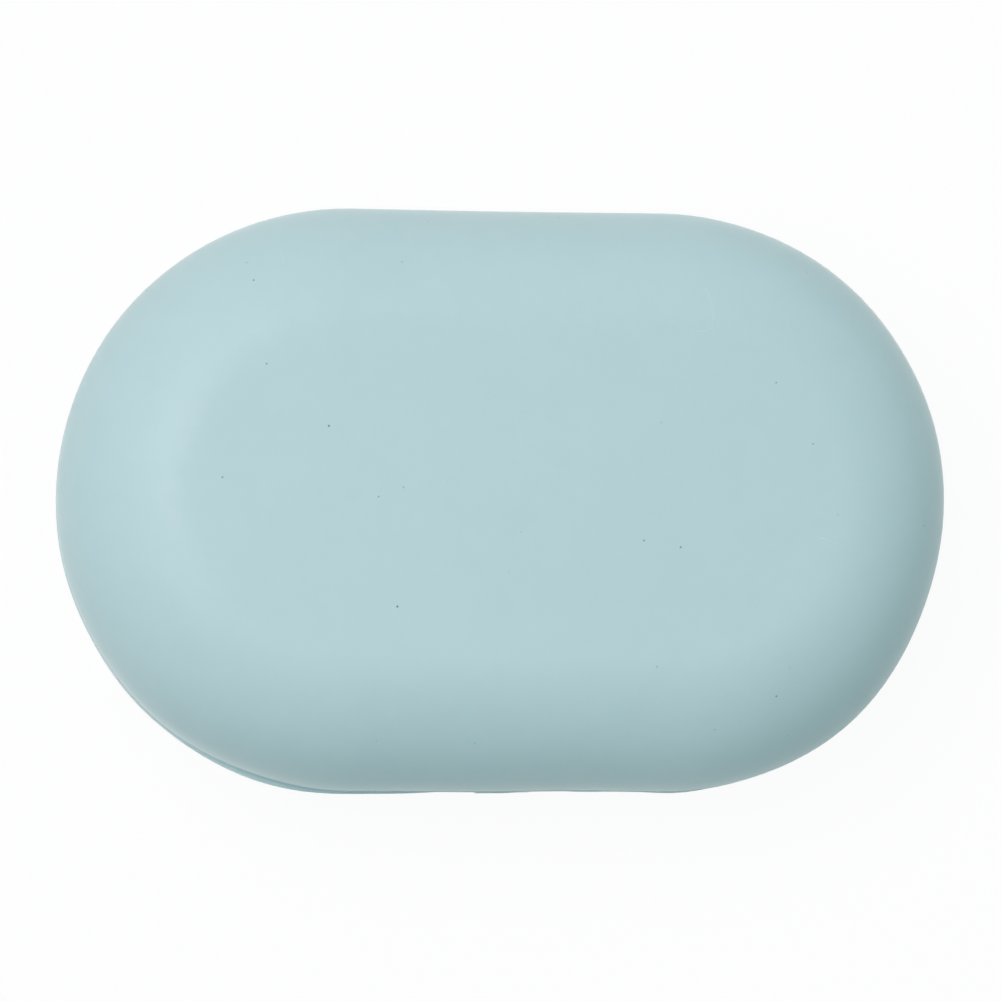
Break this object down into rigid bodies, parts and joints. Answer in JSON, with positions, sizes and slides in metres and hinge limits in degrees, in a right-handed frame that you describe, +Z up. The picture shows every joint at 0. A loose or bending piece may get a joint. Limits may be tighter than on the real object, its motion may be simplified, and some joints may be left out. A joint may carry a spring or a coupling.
{
  "type": "travel soap box",
  "caption": "Oblong silicone travel soap box: a bowl-shaped base with a sealing lip, a domed lid that lifts off, and a slotted rest that keeps the bar dry.",
  "frame": {"origin": "middle of the foot ring's flat underside, which the box stands on", "axes": "+X along the box, +Y across it towards the back, -Y towards the front with the thumb nib, +Z up"},
  "size_m": [0.115, 0.0756, 0.038],
  "materials": {
    "blue_silicone": "matte, soft-touch",
    "pale_plastic": "fine matte"
  },
  "bodies": {
    "base": {"base_shell": "blue_silicone"},
    "lid": {"lid_shell": "blue_silicone"},
    "rest": {"drain_tray": "pale_plastic"}
  },
  "joints": [
    {"name": "lid_lift", "type": "slide", "parent": "base", "child": "lid", "axis": [0, 0, 1], "range_m": [0, 0.06]},
    {"name": "rest_lift", "type": "slide", "parent": "base", "child": "rest", "axis": [0, 0, 1], "range_m": [0, 0.01]}
  ]
}
